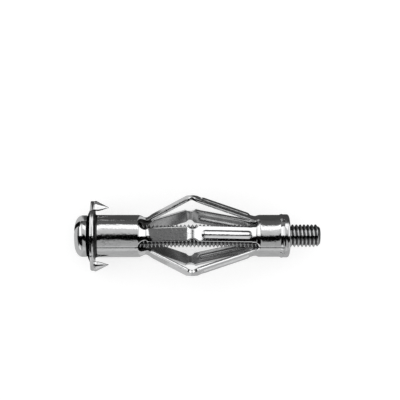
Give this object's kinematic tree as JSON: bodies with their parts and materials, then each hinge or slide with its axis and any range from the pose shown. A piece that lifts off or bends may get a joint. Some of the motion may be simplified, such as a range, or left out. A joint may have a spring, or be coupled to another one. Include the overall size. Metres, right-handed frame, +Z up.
{
  "type": "hollow wall anchor",
  "caption": "Metal cavity wall anchor, set: a slotted, flanged sheet sleeve with folded-out legs, spikes, a fixed end nut, a machine screw and a black washer.",
  "frame": {"origin": "on the screw axis, in the plane of the flange's wall side", "axes": "+X along the screw, from the head to the tip and into the wall; +Z up as the set anchor lies on two of its legs, along a third leg; the spikes lie at +Y and -Y"},
  "size_m": [0.0635, 0.021, 0.0201],
  "materials": {
    "zinc_sheet": "bright zinc plate, smooth with a fine grain",
    "zinc_nut": "bright zinc plate",
    "zinc_screw": "bright zinc plate, darker in the thread",
    "black_washer": "satin black"
  },
  "bodies": {
    "sleeve": {"sleeve": "zinc_sheet", "nut": "zinc_nut"},
    "washer": {"washer": "black_washer"},
    "screw": {"screw": "zinc_screw"}
  },
  "joints": [
    {"name": "screw_advance", "type": "slide", "parent": "sleeve", "child": "washer", "axis": [-1, 0, 0], "range_m": [0, 0.012]},
    {"name": "screw_turn", "type": "hinge", "parent": "washer", "child": "screw", "pos_m": [0, 0, 0], "axis": [-1, 0, 0], "range_deg": [0, 4320]}
  ],
  "couplings": [
    {"joint": "screw_turn", "follows": "screw_advance", "rad_per_m": 6283}
  ]
}
